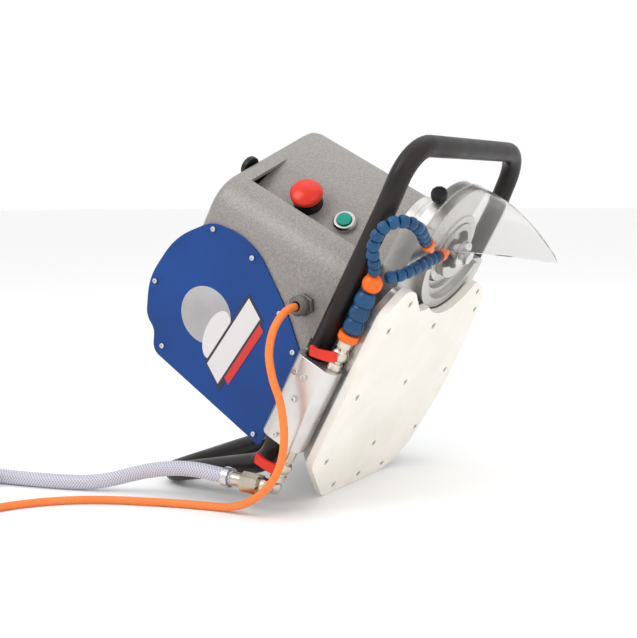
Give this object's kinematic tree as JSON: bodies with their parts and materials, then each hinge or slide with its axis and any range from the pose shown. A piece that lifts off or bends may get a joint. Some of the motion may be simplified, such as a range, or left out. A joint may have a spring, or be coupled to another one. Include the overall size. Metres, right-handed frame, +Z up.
{
  "type": "hand-guided trim saw",
  "caption": "Hand-guided wet trimming machine for stone: slide plate, domed motor housing, tube handles, water valves, jointed coolant hoses and a clear cutter guard, parked upright.",
  "frame": {"origin": "on the floor under the middle of the machine as it is parked, cable and hose left out", "axes": "+Z up; the machine stands on its tail handle and the tail edge of the slide plate; +X is the side the slide plate faces; -Y is the side with the water valves"},
  "size_m": [0.9124, 0.7826, 0.4654],
  "materials": {
    "white_plastic": "smooth white low-friction sheet",
    "aluminium": "cast and machined aluminium",
    "frame_black": "dark powder coat on round tube",
    "hammered_grey": "grey hammered enamel",
    "cover_blue": "blue faced sheet",
    "black_plastic": "moulded black plastic",
    "button_red": "glossy red moulding",
    "button_green": "glossy green moulding",
    "gland_grey": "grey nylon",
    "motor_grey": "dark laminated steel",
    "belt_rubber": "toothed belt rubber",
    "switchgear_cream": "moulded switchgear plastic",
    "steel": "bright turned steel",
    "nickel_brass": "nickel plated brass",
    "clear_guard": "clear bent polycarbonate",
    "hose_orange": "orange acetal",
    "hose_blue": "blue acetal",
    "cable_orange": "orange polyurethane sheath",
    "hose_braided": "braided clear hose"
  },
  "bodies": {
    "machine": {"slide_plate": "white_plastic", "base_plate": "aluminium", "belt_case": "aluminium", "motor_deck": "aluminium", "head_handle_tube": "frame_black", "tail_handle_tube": "frame_black", "clamp_saddle_near": "aluminium", "clamp_cap_near": "aluminium", "clamp_saddle_far": "aluminium", "clamp_cap_far": "aluminium", "housing": "hammered_grey", "side_cover": "cover_blue", "far_cover": "cover_blue", "top_cap": "black_plastic", "estop_collar": "black_plastic", "start_bezel": "steel", "cable_gland": "gland_grey", "gland_cap": "gland_grey", "motor_end_lower": "aluminium", "motor_stator": "motor_grey", "motor_end_upper": "aluminium", "motor_bearing_lower": "steel", "motor_bearing_upper": "steel", "drive_belt": "belt_rubber", "spindle_bearing_lower": "steel", "spindle_bearing_upper": "steel", "speed_control_box": "black_plastic", "contactor": "switchgear_cream", "coolant_valve": "nickel_brass", "inlet_valve": "nickel_brass", "hose_nut": "hose_orange", "coolant_hose": "hose_blue", "hose_tee": "hose_orange", "branch_hose_upper": "hose_blue", "branch_hose_lower": "hose_blue", "nozzle_upper": "hose_orange", "nozzle_lower": "hose_orange", "hose_coupling": "nickel_brass", "hose_clamp": "steel", "power_cable": "cable_orange", "power_cable_coil": "cable_orange", "power_plug": "black_plastic", "water_hose": "hose_braided", "water_hose_coil": "hose_braided", "water_connector": "nickel_brass"},
    "estop_head": {"estop_head": "button_red"},
    "start_button": {"start_button": "button_green"},
    "coolant_lever": {"coolant_lever": "button_red"},
    "inlet_lever": {"inlet_lever": "button_red"},
    "rotor": {"rotor": "steel", "motor_fan": "black_plastic", "motor_pulley": "aluminium"},
    "spindle": {"spindle": "steel", "spindle_pulley": "aluminium", "tool_flange": "steel", "tool_nut": "steel"},
    "guard": {"guard_bracket": "aluminium", "guard_sheet": "clear_guard"},
    "guard_knob": {"guard_knob": "black_plastic"}
  },
  "joints": [
    {"name": "estop_press", "type": "slide", "parent": "machine", "child": "estop_head", "axis": [-0.325, 0.7298, -0.6014], "range_m": [0, 0.005]},
    {"name": "start_press", "type": "slide", "parent": "machine", "child": "start_button", "axis": [-0.325, 0.7298, -0.6014], "range_m": [0, 0.003], "stiffness_N_per_m": 400, "springref_m": -0.001},
    {"name": "coolant_valve_turn", "type": "hinge", "parent": "machine", "child": "coolant_lever", "pos_m": [0.04466, -0.1543, 0.19744], "axis": [0, 1, 0], "range_deg": [0, 90]},
    {"name": "inlet_valve_turn", "type": "hinge", "parent": "machine", "child": "inlet_lever", "pos_m": [-0.03075, -0.1623, 0.05792], "axis": [0, 1, 0], "range_deg": [0, 90]},
    {"name": "rotor_spin", "type": "hinge", "parent": "machine", "child": "rotor", "pos_m": [-0.01692, 0.0087, 0.19287], "axis": [-0.8797, 0, 0.4754], "continuous": true},
    {"name": "spindle_spin", "type": "hinge", "parent": "machine", "child": "spindle", "pos_m": [0.11621, 0.0087, 0.31302], "axis": [-0.8797, 0, 0.4754], "continuous": true},
    {"name": "guard_swing", "type": "hinge", "parent": "machine", "child": "guard", "pos_m": [0.11094, 0.0087, 0.31587], "axis": [-0.8797, 0, 0.4754], "range_deg": [0, 40]},
    {"name": "guard_knob_turn", "type": "hinge", "parent": "guard", "child": "guard_knob", "pos_m": [0.12482, -0.05604, 0.37943], "axis": [0.3303, -0.7193, 0.6111], "continuous": true}
  ],
  "couplings": [
    {"joint": "spindle_spin", "follows": "rotor_spin", "ratio": 1.25}
  ]
}
